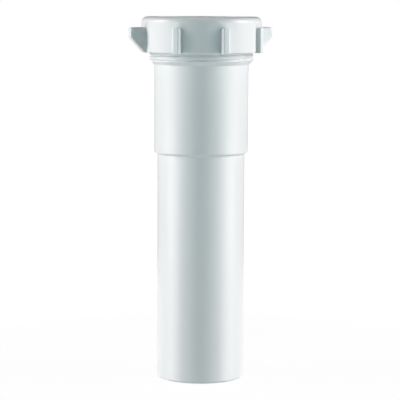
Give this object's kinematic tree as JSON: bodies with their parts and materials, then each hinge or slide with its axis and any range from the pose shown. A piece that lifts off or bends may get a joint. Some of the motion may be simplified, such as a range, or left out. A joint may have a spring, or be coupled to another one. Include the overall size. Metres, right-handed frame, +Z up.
{
  "type": "drain extension tube",
  "caption": "Straight plastic drain tube with a plain lower end, a wider slip-joint socket on top, and a winged slip nut with a bevelled washer on the socket's thread.",
  "frame": {"origin": "middle of the tube's plain lower end, on which the part stands", "axes": "+Z up the waterway towards the socket's mouth; the nut's two wings lie along X"},
  "size_m": [0.0666, 0.0566, 0.158],
  "materials": {
    "tube_plastic": "moulded white polypropylene, satin gloss",
    "nut_plastic": "moulded white polypropylene, satin gloss",
    "washer_plastic": "moulded natural polyethylene, waxy"
  },
  "bodies": {
    "tube": {"extension_tube": "tube_plastic"},
    "washer": {"slip_washer": "washer_plastic"},
    "nut": {"slip_nut": "nut_plastic"}
  },
  "joints": [
    {"name": "nut_lift", "type": "slide", "parent": "tube", "child": "washer", "axis": [0, 0, 1], "range_m": [0, 0.00663]},
    {"name": "nut_turn", "type": "hinge", "parent": "washer", "child": "nut", "pos_m": [0, 0, 0.15], "axis": [0, 0, 1], "range_deg": [0, 1080]}
  ],
  "couplings": [
    {"joint": "nut_lift", "follows": "nut_turn", "m_per_rad": 0.00035152}
  ]
}
